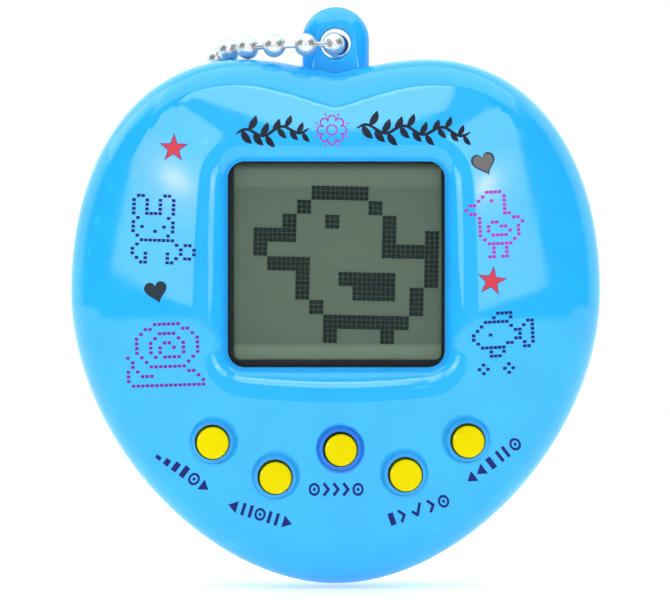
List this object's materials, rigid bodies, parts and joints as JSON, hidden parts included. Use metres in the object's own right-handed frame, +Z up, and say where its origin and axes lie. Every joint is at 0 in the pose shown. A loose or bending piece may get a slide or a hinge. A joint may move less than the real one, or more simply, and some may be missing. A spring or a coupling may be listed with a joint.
{
  "type": "virtual pet keychain",
  "caption": "Heart-shaped handheld electronic toy with a loop tab, a small recessed LCD window, round push buttons, a screwed battery door and a ball chain.",
  "frame": {"origin": "centre of the loop tab's hole, on the parting plane between the shells", "axes": "+Z up as the toy hangs, +X to the right as seen from the front, +Y towards the back; the screen faces -Y"},
  "size_m": [0.055, 0.0197, 0.0601],
  "materials": {
    "blue_shell": "glossy",
    "yellow_cap": "satin",
    "clear_lens": "glossy",
    "black_foam": "matte",
    "lcd_glass": "satin",
    "white_plastic": "matte",
    "dark_rubber": "matte",
    "clear_silicone": "matte",
    "green_board": "satin",
    "black_epoxy": "glossy",
    "nickel_chain": "polished",
    "steel": "satin",
    "brass": "satin",
    "pale_ceramic": "matte",
    "red_wire": "satin",
    "black_wire": "satin"
  },
  "bodies": {
    "case": {"front_shell": "blue_shell", "back_shell": "blue_shell", "screen_lens": "clear_lens", "screen_gasket": "black_foam", "lcd_panel": "lcd_glass", "lcd_frame": "white_plastic", "lcd_connector": "dark_rubber", "status_dome": "clear_silicone", "select_dome": "clear_silicone", "reset_dome": "clear_silicone", "decide_dome": "clear_silicone", "cancel_dome": "clear_silicone", "circuit_board": "green_board", "controller_blob": "black_epoxy", "crystal_can": "steel", "capacitor": "black_epoxy", "resistor": "black_epoxy", "battery_cell_upper": "steel", "battery_cell_lower": "steel", "battery_contact_upper": "nickel_chain", "battery_contact_lower": "nickel_chain", "case_screw_left": "steel", "case_screw_right": "steel", "case_screw_bottom": "steel", "board_screw_left": "steel", "board_screw_right": "steel", "buzzer_disc": "brass", "buzzer_ceramic": "pale_ceramic", "buzzer_wire_red": "red_wire", "buzzer_wire_black": "black_wire", "ball_chain": "nickel_chain", "chain_coupling": "nickel_chain"},
    "status_key": {"status_button": "yellow_cap"},
    "select_key": {"select_button": "yellow_cap"},
    "reset_key": {"reset_button": "yellow_cap"},
    "decide_key": {"decide_button": "yellow_cap"},
    "cancel_key": {"cancel_button": "yellow_cap"},
    "battery_cover": {"battery_door": "blue_shell", "battery_link_plate": "nickel_chain", "battery_door_screw": "steel"}
  },
  "joints": [
    {"name": "status_press", "type": "slide", "parent": "case", "child": "status_key", "axis": [0, 1, 0], "range_m": [0, 0.0007], "stiffness_N_per_m": 400, "deforming": ["status_dome"]},
    {"name": "select_press", "type": "slide", "parent": "case", "child": "select_key", "axis": [0, 1, 0], "range_m": [0, 0.0007], "stiffness_N_per_m": 400, "deforming": ["select_dome"]},
    {"name": "reset_press", "type": "slide", "parent": "case", "child": "reset_key", "axis": [0, 1, 0], "range_m": [0, 0.0007], "stiffness_N_per_m": 400, "deforming": ["reset_dome"]},
    {"name": "decide_press", "type": "slide", "parent": "case", "child": "decide_key", "axis": [0, 1, 0], "range_m": [0, 0.0007], "stiffness_N_per_m": 400, "deforming": ["decide_dome"]},
    {"name": "cancel_press", "type": "slide", "parent": "case", "child": "cancel_key", "axis": [0, 1, 0], "range_m": [0, 0.0007], "stiffness_N_per_m": 400, "deforming": ["cancel_dome"]},
    {"name": "battery_cover_removal", "type": "slide", "parent": "case", "child": "battery_cover", "axis": [0, 1, 0], "range_m": [0, 0.014]}
  ]
}
